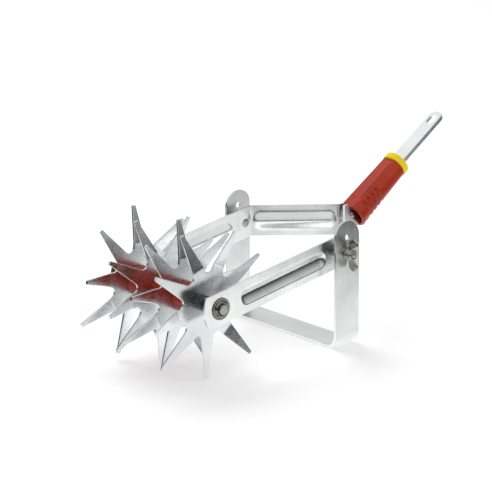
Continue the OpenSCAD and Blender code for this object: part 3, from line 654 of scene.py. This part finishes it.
def bead_depth(along, off, length, cap, valley, hollow, soft, rim):
    """Depth of a bead: a straight upper flank and a lower one, whose power makes it hollow.

    The flanks meet in a valley that may lie above the middle; soft rounds the valley, and rim
    rounds the edges where the flanks meet the flat strip. Towards its ends the section shrinks
    in width and depth alike, as an ellipse does, over the cap's length.
    """
    half = BEAD_W / 2
    beyond = np.clip(np.maximum(cap - along, along - length + cap) / cap, 0, 1)
    shrink = np.sqrt(np.maximum(1 - beyond**2, SMALLEST_SHRINK))
    place = off / shrink
    upper = (half - place) / (half - valley)
    lower = 1 - (np.maximum(valley - place, 0) / (half + valley))**hollow
    deep = shrink * smaller(BEAD_D * upper, BEAD_D * lower, soft)
    return rim * np.logaddexp(0, deep / rim) * (1 - beyond**CAP_FADE)


def band():
    """The strip in the side view: (y, z) of a grid, columns along it and rows across it."""
    across = np.concatenate([np.linspace(-1, -BEAD_SHARE, EDGE_ROWS)[:-1],
                             np.linspace(-BEAD_SHARE, BEAD_SHARE, BEAD_ROWS),
                             np.linspace(BEAD_SHARE, 1, EDGE_ROWS)[1:]])[:, None]
    nose_x = NOSE_R - NOSE - np.sqrt(NOSE_R**2 - (across * STRIP_W / 2)**2)
    nose = np.stack([AXLE_Y + nose_x * cos(arm_slope) - across * STRIP_W / 2 * sin(arm_slope),
                     AXLE_Z + nose_x * sin(arm_slope) + across * STRIP_W / 2 * cos(arm_slope)], axis=-1)
    fold = np.stack([np.full_like(across, fold_start), fold_z + across * rise / 2], axis=-1)
    share = np.linspace(0, 1, ARM_COLUMNS)[None, :-1, None]
    arm = (1 - share) * nose + share * fold
    fold_end = fold_start + FOLD_R * sin(fold_angle)
    bent = fold_start + FOLD_R * np.sin(np.linspace(0, fold_angle, FOLD_COLUMNS)[:-1])
    far_y = APEX_BACK + apex_end
    apex_start = far_y - APEX_R * sin(fold_angle)
    bridge = np.linspace(fold_end, apex_start, BRIDGE_COLUMNS)
    level = np.concatenate([bent, bridge])
    middle = np.interp(level, [fold_end, apex_start], [fold_z, APEX_H])
    level = np.broadcast_to(level, (len(across), len(level)))
    rear = np.stack([level, middle + across * rise / 2], axis=-1)
    return np.concatenate([arm, rear, flange(across)], axis=1)


def flange(across):
    """The flange: straight rows from the apex to its end, whose top stands back by a step.

    The rows below the step are then moved so that the lowest follows the bent lower edge.
    """
    low, high = APEX_H - rise / 2, APEX_H + rise / 2
    first_y = APEX_BACK + apex_end - APEX_R * sin(fold_angle)
    turn_s = (low - SLEEVE_TOP[1] - FLANGE_LOW * cos(HANDLE_ANGLE)) / sin(HANDLE_ANGLE)
    top_n = (high - SLEEVE_TOP[1] - FLANGE_END * sin(HANDLE_ANGLE)) / cos(HANDLE_ANGLE)
    u = np.concatenate([np.linspace(0, BEND_SHARE, BEND_COLUMNS),
                        np.linspace(BEND_SHARE, 1, TAIL_COLUMNS)[1:]])[None, :]
    v = (across + 1) / 2
    marks = [0, v[STEP_ROW, 0], v[STEP_ROW + 1, 0], 1]
    ends = np.array([handle_point(TAIL_END, FLANGE_LOW), handle_point(TAIL_END, TAIL_TOP),
                     handle_point(FLANGE_END, TAIL_TOP + STEP_RISE), handle_point(FLANGE_END, top_n)])
    end = np.stack([np.interp(v, marks, ends[:, i]) for i in (0, 1)], axis=-1)
    start = np.stack([np.full_like(v, first_y), low + v * rise], axis=-1)
    rows = start + (end - start) * u[:, :, None]
    edge = np.array([(first_y, low), handle_point(turn_s, FLANGE_LOW), ends[0]])
    bent = np.stack([np.interp(u, [0, u[0, BEND_COLUMN], 1], edge[:, i]) for i in (0, 1)], axis=-1)
    rows = rows + np.clip(1 - v / marks[1], 0, 1)[:, :, None] * (bent - rows[:1])
    return rows[:, 1:]


def frame_sheet(side):
    """The outer face of a frame half, on the side given as 1 or -1, with its normals outwards."""
    y, z = np.moveaxis(band(), -1, 0)
    x, angle = plan(y)
    along_arm = (y - AXLE_Y) * cos(arm_slope) + (z - AXLE_Z) * sin(arm_slope)
    off = (z - AXLE_Z) * cos(arm_slope) - (y - AXLE_Y) * sin(arm_slope)
    on_arm = bead_depth(along_arm - BEAD_FRONT, off, arm_l - BEAD_FRONT - BEAD_REAR, **ARM_BEAD)
    fold_end = fold_start + FOLD_R * sin(fold_angle)
    level = (y - fold_end) / cos(fold_angle)
    along = level * cos(bridge_slope) + (z - fold_z) * sin(bridge_slope)
    above = (z - fold_z) * cos(bridge_slope) - level * sin(bridge_slope)
    bead_l = bridge_l / cos(bridge_slope) - 2 * BEAD_MARGIN
    on_bridge = bead_depth(along - BEAD_MARGIN, above, bead_l, **BRIDGE_BEAD)
    depth = np.where(y < fold_start, on_arm, on_bridge)
    grid = np.stack([side * (x - depth * np.cos(angle)), y - depth * np.sin(angle), z], axis=-1)
    return grid if side < 0 else grid[::-1]


for side, node in ((1, "frame_right"), (-1, "frame_left")):
    piece(node + "_strip", [frame_sheet(side)], node, wall=(STRIP_T, -1), edge=STRIP_EDGE, turn=False)

# %% [markdown]
# Everything round on the axle and the pivots is turned: a profile of radii is swept about the
# tool's X axis. Corners of the profile are rounded first, by short curves between the points,
# so that each edge catches a line of light as a real turned or moulded edge does. A Screw
# modifier would sweep a profile too, but the array keeps its points at hand, and the studs
# below need them. The cap is pressed on: from its rim it dips a little, rises to a shoulder
# and sinks to the axle.

# %% Turned pieces
LONGEST_ROUND = 0.45


def rounded(points, radius, steps=4):
    """Replaces each inner corner of a profile by a curve between two points near it."""
    points = np.array(points, dtype=float)
    out = [points[0]]
    for before, corner, after in zip(points, points[1:], points[2:]):
        reach_in, reach_out = np.linalg.norm(before - corner), np.linalg.norm(after - corner)
        size = min(radius, LONGEST_ROUND * reach_in, LONGEST_ROUND * reach_out)
        first = corner + (before - corner) * size / reach_in
        last = corner + (after - corner) * size / reach_out
        share = np.linspace(0, 1, steps + 1)[:, None]
        out.extend((1 - share)**2 * first + 2 * share * (1 - share) * corner + share**2 * last)
    out.append(points[-1])
    return np.array(out)


def lathe(profile, y, z, side=1, steps=96):
    """Sweeps (place along X, radius) pairs about an axis parallel to X."""
    angle = np.linspace(0, 2 * pi, steps + 1)
    along, radius = profile[:, :1], profile[:, 1:]
    return np.stack([np.broadcast_to(side * along, (len(profile), steps + 1)),
                     y + radius * np.cos(angle), z + radius * np.sin(angle)], axis=-1)


DRUM_R, HUB_R, AXLE_R = 15.0, 8.0, 5.0
HALF_SHEET = SHEET / 2
DRUM_EDGE, CAP_EDGE = 0.7, 0.45
DRUMS = {"drum_left": (-OUTER_X + HALF_SHEET, -INNER_X - HALF_SHEET),
         "drum_middle": (-INNER_X + HALF_SHEET, INNER_X - HALF_SHEET),
         "drum_right": (INNER_X + HALF_SHEET, OUTER_X - HALF_SHEET)}
CAP_R, SHOULDER_R, CAP_H, CAP_T = 10.9, 7.5, 2.8, 1.0
CAP_STEPS = np.array([(0, AXLE_R), (0, CAP_R), (CAP_T, CAP_R - 0.2), (CAP_T - 0.25, SHOULDER_R + 0.9),
                      (CAP_T, SHOULDER_R + 0.3), (CAP_H - 0.5, SHOULDER_R - 0.2), (CAP_H, SHOULDER_R - 1),
                      (CAP_H - 0.3, AXLE_R + 0.5), (CAP_H - 0.7, AXLE_R), (0, AXLE_R)])
for node, (x0, x1) in DRUMS.items():
    profile = rounded([(x0, HUB_R), (x0, DRUM_R), (x1, DRUM_R), (x1, HUB_R), (x0, HUB_R)], DRUM_EDGE)
    piece(node + "_moulded", [lathe(profile, AXLE_Y, AXLE_Z)], node)

for side, word in ((1, "right"), (-1, "left")):
    cap = rounded(CAP_STEPS + (ARM_X, 0), CAP_EDGE)
    piece("axle_cap_%s_pressed" % word, [lathe(cap, AXLE_Y, AXLE_Z, side)], "axle_cap_" + word)

# %% [markdown]
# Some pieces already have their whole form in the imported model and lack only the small
# radius that a stamped or sawn edge keeps. They are copied, and a bevel breaks their edges,
# which is simpler than a new surface and can't miss a hole or a bend. The stirrup and the
# axle each get a finish of their own.

# %% Softened pieces
STAMPED_EDGE, RIVET_EDGE = 0.4, 0.3
OWN_FINISH = {"stirrup": stirrup_zinc, "axle": fastener_zinc}
for node in ("stirrup", "tang", "tongue", "axle"):
    softened(node, STAMPED_EDGE, OWN_FINISH.get(node))
softened("rivets", RIVET_EDGE, segments=3)

# %% [markdown]
# The studs are clinched into the arms: a disc a hair proud of the arm's inner face, a
# shoulder, and a thread that ends just outside the wing nut. The thread is the turned
# surface with its radius rising and falling as a saw along a helix. A bump in the material
# would look the same from the front, but its outline would stay smooth.

# %% Studs
STUD_R, STUD_ROOT_R, STUD_PROUD, STUD_EDGE = 3.0, 4.5, 0.15, 0.2
THREAD_DEPTH, THREAD_STEP, THREAD_FROM, THREAD_END, STUD_STEPS = 0.17, 0.1, 0.1, 0.6, 48
POST_X, NUT_H, PLAY, PITCH = 80.0, 8.0, 0.3, 1.0
STUD_OUT, TIP_L, TIP_IN, END_IN = 0.5, 0.5, 0.3, 0.7
STUD_TIP = POST_X + PLAY + NUT_H + STUD_OUT


def stud(side):
    """The clinched root and the threaded shank, as one closed turned surface."""
    seat = ARM_X - STRIP_T - STUD_PROUD
    root = rounded([(seat, 0), (seat, STUD_ROOT_R), (ARM_X, STUD_ROOT_R), (ARM_X, STUD_R)], STUD_EDGE)
    along = np.arange(ARM_X + THREAD_FROM, STUD_TIP - THREAD_END, THREAD_STEP)
    shank = np.stack([along, np.full_like(along, STUD_R)], axis=1)
    tip = rounded([(STUD_TIP - TIP_L, STUD_R - TIP_IN), (STUD_TIP, STUD_R - END_IN), (STUD_TIP, 0)],
                  STUD_EDGE)
    grid = lathe(np.concatenate([root, shank, tip]), 0, PIVOT_H, side, STUD_STEPS)
    turn = np.linspace(0, 1, STUD_STEPS + 1)
    saw = np.abs((along[:, None] / PITCH - turn) % 1 - 0.5) * 2
    share = 1 - THREAD_DEPTH * saw
    rows = slice(len(root), len(root) + len(along))
    grid[rows, :, 1] *= share
    grid[rows, :, 2] = PIVOT_H + (grid[rows, :, 2] - PIVOT_H) * share
    return grid

# %% [markdown]
# A wing nut is cast. Its hub is turned, and each wing is a rounded bar whose width and
# middle line change from the hub to the round tip: every section across it is a squircle,
# which is flat on its faces and full at its edges. The wing starts inside the hub, where its
# root is hidden, is narrowest there, and grows to the round tip. It could be sculpted, but a
# formula keeps all four wings alike.

# %% Wing nuts
WING_H, NUT_SPAN, TIP_R = 13.5, 32.0, 6.0
ROOT_OUT, WAIST_OUT, LAST_BAR = 2.5, 4.5, 1
ROOT_WIDTH, WAIST_WIDTH = 2.4, 2.8
ROOT_MIDDLE, WAIST_MIDDLE = 4, 4.2
ROOT_THICK, BAR_THICK, TIP_THICK, ROUND_FROM = 2.3, 1.5, 1.2, 1.5
SQUIRCLE = 0.7
BAR_ROWS, TIP_ROWS, SECTION_POINTS = 10, 14, 33


def wing(side, up):
    """One wing: squircle sections from inside the hub out to a round tip.

    Half the width, the middle line and half the thickness are lines through marks along the
    wing. A section's points are a circle's, with sine and cosine raised to a power.
    """
    tip_x, tip_out = WING_H - TIP_R, NUT_SPAN / 2 - TIP_R
    marks = [ROOT_OUT, WAIST_OUT, tip_out]
    angle = np.linspace(0, pi / 2, TIP_ROWS)
    bar = np.linspace(ROOT_OUT, tip_out - LAST_BAR, BAR_ROWS)
    out = np.concatenate([[ROOT_OUT], bar, tip_out + TIP_R * np.sin(angle)])
    bar_half = np.interp(bar, marks, [ROOT_WIDTH, WAIST_WIDTH, TIP_R])
    half = np.concatenate([[0], bar_half, TIP_R * np.cos(angle)])
    middle = np.interp(out, marks, [ROOT_MIDDLE, WAIST_MIDDLE, tip_x])
    thick = np.interp(out, [ROOT_OUT, tip_out, tip_out + TIP_R], [ROOT_THICK, BAR_THICK, TIP_THICK])
    thick = thick * np.sqrt(np.clip(half / ROUND_FROM, 0, 1))
    turn = np.linspace(0, 2 * pi, SECTION_POINTS)
    c, s = np.cos(turn), np.sin(turn)
    across = np.sign(c) * np.abs(c)**SQUIRCLE * half[:, None]
    deep = np.sign(s) * np.abs(s)**SQUIRCLE * thick[:, None]
    x = POST_X + PLAY + middle[:, None] + across
    return np.stack([side * x, deep, PIVOT_H + up * np.broadcast_to(out[:, None], x.shape)], axis=-1)


# %% [markdown]
# On each side the pivot is clamped by three pieces: the stud, the nut outside the post, and a
# turned tube that keeps the post at its distance from the arm. Nut and tube are profiles
# swept about the pivot's axis, and the nut's two wings are added to its hub as grids.

# %% Pivot fastenings
NUT_R, NUT_TAPER, NUT_FOOT, NUT_EDGE = 6.5, 2.5, 1.2, 0.6
THREAD_PLAY, MOUTH_PLAY, MOUTH_DEPTH = 0.1, 0.6, 0.8
SPACER_L, SPACER_R, SPACER_EDGE = 8.5, 6.0, 0.5
seat, top = POST_X + PLAY, POST_X + PLAY + NUT_H
bore_r = STUD_R + THREAD_PLAY
hub = rounded([(seat, bore_r), (seat, NUT_R), (seat + NUT_FOOT, NUT_R), (top, NUT_R - NUT_TAPER / 2),
               (top, STUD_R + MOUTH_PLAY), (top - MOUTH_DEPTH, bore_r), (seat, bore_r)], NUT_EDGE)
tube_end = ARM_X + SPACER_L
spacer = rounded([(ARM_X, bore_r), (ARM_X, SPACER_R), (tube_end, SPACER_R), (tube_end, bore_r),
                  (ARM_X, bore_r)], SPACER_EDGE)
for side, word in ((1, "right"), (-1, "left")):
    piece("pivot_stud_%s_threaded" % word, [stud(side)], "pivot_stud_" + word)
    piece("wing_nut_%s_cast" % word, [lathe(hub, 0, PIVOT_H, side), wing(side, 1), wing(side, -1)],
          "wing_nut_" + word)
    piece("pivot_spacer_%s_turned" % word, [lathe(spacer, 0, PIVOT_H, side)], "pivot_spacer_" + word)

# %% [markdown]
# The sleeve is moulded on the handle's core. It is a cone that leans a little, flattened on
# top by a panel with a fine line along each side, with four grooves for the fingers that
# start beside the panel and run on round below. All of that is one rule for the radius, by
# the place along the sleeve and the angle round it: the smallest of the cone, the panel's
# plane and each groove, with softened seams, less the depth of the line. Cutting the grooves
# with other solids would leave sharp seams, which moulded plastic never has.

# %% Sleeve and ring
SLEEVE_R, SLEEVE_LOW_R, LEAN, PANEL_H = 13.2, 15.5, radians(0.8), 11.1
GROOVES, GROOVE_STEP, GROOVE_D, GROOVE_W, GROOVE_FIRST = 4, 6.8, 2.2, 4.5, 10.5
GROOVE_FROM, GROOVE_FULL = radians(35), radians(50)
GROOVE_LOW, CLEAR_OF_CONE, GROOVE_SEAM = 0.35, 0.6, 0.1
MOUTH_L, MOUTH_WALL, MOUTH_DRAFT, MOUTH_EDGE, RIM_R = 9.0, 3.0, 0.4, 0.6, 1.5
LINE_W, LINE_IN, LINE_END, LINE_DEPTH = 0.9, 0.8, 5.0, np.array([0.7, 1, 0.7])
INTO_RING, SMALLEST_COSINE = 0.3, 0.05
LENGTH_ROWS, RIM_ROWS, PANEL_COLUMNS, ROUND_COLUMNS = 170, 6, 14, 60
OUTSIDE_ROWS = LENGTH_ROWS + 4
RING_L, RING_R, RING_EDGE = 7.5, 14.0, 1.2
CONE = (SLEEVE_LOW_R - SLEEVE_R) / SLEEVE_L


def on_handle(s, n, x):
    """Places along the handle, square to it and across it, as points of the frame."""
    y = SLEEVE_TOP[0] + s * cos(HANDLE_ANGLE) - n * sin(HANDLE_ANGLE)
    z = SLEEVE_TOP[1] + s * sin(HANDLE_ANGLE) + n * cos(HANDLE_ANGLE)
    return np.stack(np.broadcast_arrays(x, y, z), axis=-1)


def sleeve_profile():
    """Places along the sleeve and radii, from its upper end down the outside into the mouth."""
    down = np.linspace(-INTO_RING, SLEEVE_L - RIM_R, LENGTH_ROWS)
    rim = np.linspace(0, pi / 2, RIM_ROWS + 1)[1:]
    inner_r = SLEEVE_LOW_R - MOUTH_WALL
    mouth = SLEEVE_L - MOUTH_L
    inside = rounded([(SLEEVE_L, SLEEVE_LOW_R - RIM_R), (SLEEVE_L, inner_r), (mouth, inner_r - MOUTH_DRAFT),
                      (mouth, 0)], MOUTH_EDGE)[1:]
    place = np.concatenate([[-INTO_RING], down, SLEEVE_L - RIM_R + RIM_R * np.sin(rim), inside[:, 0]])
    radius = np.concatenate([[0], SLEEVE_R + down * CONE, SLEEVE_LOW_R - RIM_R + RIM_R * np.cos(rim),
                             inside[:, 1]])
    return place, radius


def sleeve_columns(place):
    """Angles of the columns all round for each row, and how deep the panel's line is there.

    Columns crowd round the line, which lies a little inside the panel's edge. That edge is
    where the panel's plane meets the cone: its distance from the middle is the root of the
    outer radius squared less the panel's height squared.
    """
    panel, outer = PANEL_H + place * CONE, SLEEVE_R + place * CONE
    edge = np.sqrt(outer**2 - panel**2) - LINE_IN
    line = np.arctan2(edge, panel)[:, None]
    thin = LINE_W / SLEEVE_R / 2
    on_panel = np.linspace(0, 1, PANEL_COLUMNS)[None, :] * (line - thin)
    beside = line + thin * np.array([-0.5, 0, 0.5, 1])
    below = line + thin + np.linspace(0, 1, ROUND_COLUMNS)[None, 1:] * (pi - line - thin)
    half = np.concatenate([on_panel, beside, below], axis=1)
    depth = np.zeros_like(half)
    depth[:, PANEL_COLUMNS:PANEL_COLUMNS + len(LINE_DEPTH)] = LINE_W * LINE_DEPTH
    on_line = np.clip(np.minimum(place - LINE_END, SLEEVE_L - MOUTH_L - LINE_END - place), 0, 1)[:, None]
    angle = np.concatenate([-half[:, :0:-1], half], axis=1)
    return angle, np.concatenate([depth[:, :0:-1], depth], axis=1) * on_line


def sleeve_surface():
    """Rows from the upper end down the outside and up into the mouth, columns all round.

    A groove is a lopsided V along the sleeve. Near the panel its depth fades to nothing over
    a range of angles, and there it is also lifted clear of the cone.
    """
    place, radius = sleeve_profile()
    angle, depth = sleeve_columns(place)
    panel, outer = (PANEL_H + place * CONE)[:, None], (SLEEVE_R + place * CONE)[:, None]
    wide = np.broadcast_to(radius[:, None], angle.shape)
    rise = SLEEVE_L - place[:, None]
    below_panel = np.clip((np.abs(angle) - GROOVE_FROM) / (GROOVE_FULL - GROOVE_FROM), 0, 1)
    below_panel = below_panel**2 * (3 - 2 * below_panel)
    for i in range(GROOVES):
        share = (rise - GROOVE_FIRST - i * GROOVE_STEP) / GROOVE_W
        v_shape = np.minimum(share / GROOVE_LOW, (1 - share) / (1 - GROOVE_LOW))
        floor_r = outer - GROOVE_D * v_shape * below_panel + CLEAR_OF_CONE * (1 - below_panel)
        wide = smaller(wide, floor_r, GROOVE_SEAM)
    plane = panel / np.maximum(np.cos(angle), SMALLEST_COSINE)
    wide = smaller(wide, plane)
    row = np.arange(len(place))
    is_outside = (row > 0) & (row <= OUTSIDE_ROWS)
    wide = np.where(is_outside[:, None], wide - depth, np.minimum(radius[:, None], plane))
    n, x = wide * np.cos(angle), wide * np.sin(angle)
    s = -place[:, None]
    return on_handle(s * cos(LEAN) - n * sin(LEAN), s * sin(LEAN) + n * cos(LEAN), x)


def on_core(profile, steps=96):
    """Sweeps (place along, radius) pairs about the handle's axis."""
    angle = np.linspace(0, 2 * pi, steps + 1)
    return on_handle(profile[:, :1], profile[:, 1:] * np.cos(angle), profile[:, 1:] * np.sin(angle))


piece("sleeve_moulded", [sleeve_surface()], "sleeve")
ring_profile = rounded([(0, 0), (0, RING_R), (RING_L, RING_R), (RING_L, 0)], RING_EDGE, 6)
piece("ring_moulded", [on_core(ring_profile)], "ring")
